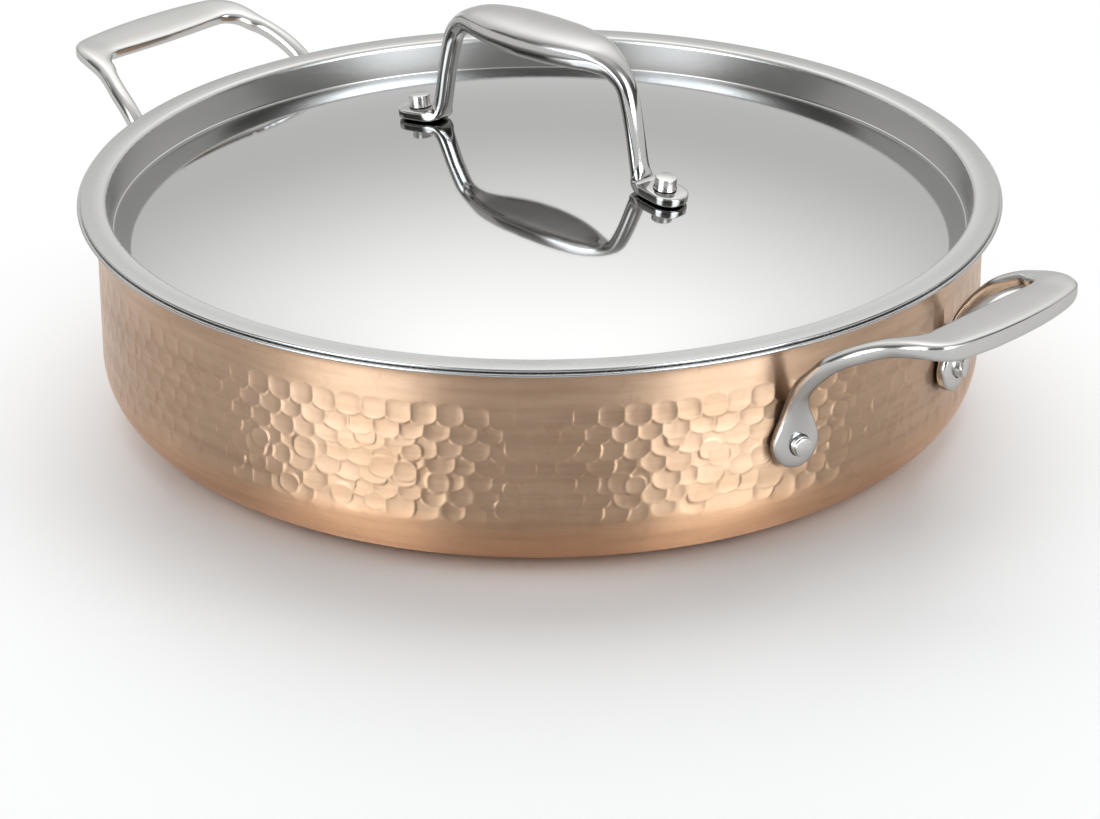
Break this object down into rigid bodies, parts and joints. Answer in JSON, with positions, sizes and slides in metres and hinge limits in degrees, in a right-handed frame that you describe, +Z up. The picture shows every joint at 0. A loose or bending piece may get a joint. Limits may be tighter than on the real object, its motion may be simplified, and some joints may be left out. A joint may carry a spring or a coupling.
{
  "type": "casserole pot with lid",
  "caption": "Low wide copper-clad cooking pot with riveted steel loop handles and a recessed, domed steel lid with an arched grip; the lid lifts off.",
  "frame": {"origin": "middle of the flat base, on the surface the pot stands on", "axes": "+Z up along the axis of the pot; the side handles and the lid handle lie along X"},
  "size_m": [0.4218, 0.322, 0.1367],
  "materials": {
    "copper": "hammered copper, satin brushed",
    "core": "plain, hidden",
    "liner": "satin",
    "handles": "satin cast steel",
    "rivets": "polished",
    "lid": "mirror-polished stainless steel with a satin flange",
    "lid_handle": "polished cast steel"
  },
  "bodies": {
    "pot": {"pan_copper_shell": "copper", "pan_aluminium_core": "core", "pan_steel_liner": "liner", "side_handle_right": "handles", "side_handle_left": "handles", "side_rivet_right_front": "rivets", "side_rivet_right_back": "rivets", "side_rivet_left_front": "rivets", "side_rivet_left_back": "rivets"},
    "lid": {"lid_panel": "lid", "lid_handle": "lid_handle", "lid_rivet_right": "rivets", "lid_rivet_left": "rivets"}
  },
  "joints": [
    {"name": "lid_lift", "type": "slide", "parent": "pot", "child": "lid", "axis": [0, 0, 1], "range_m": [0, 0.12]}
  ]
}
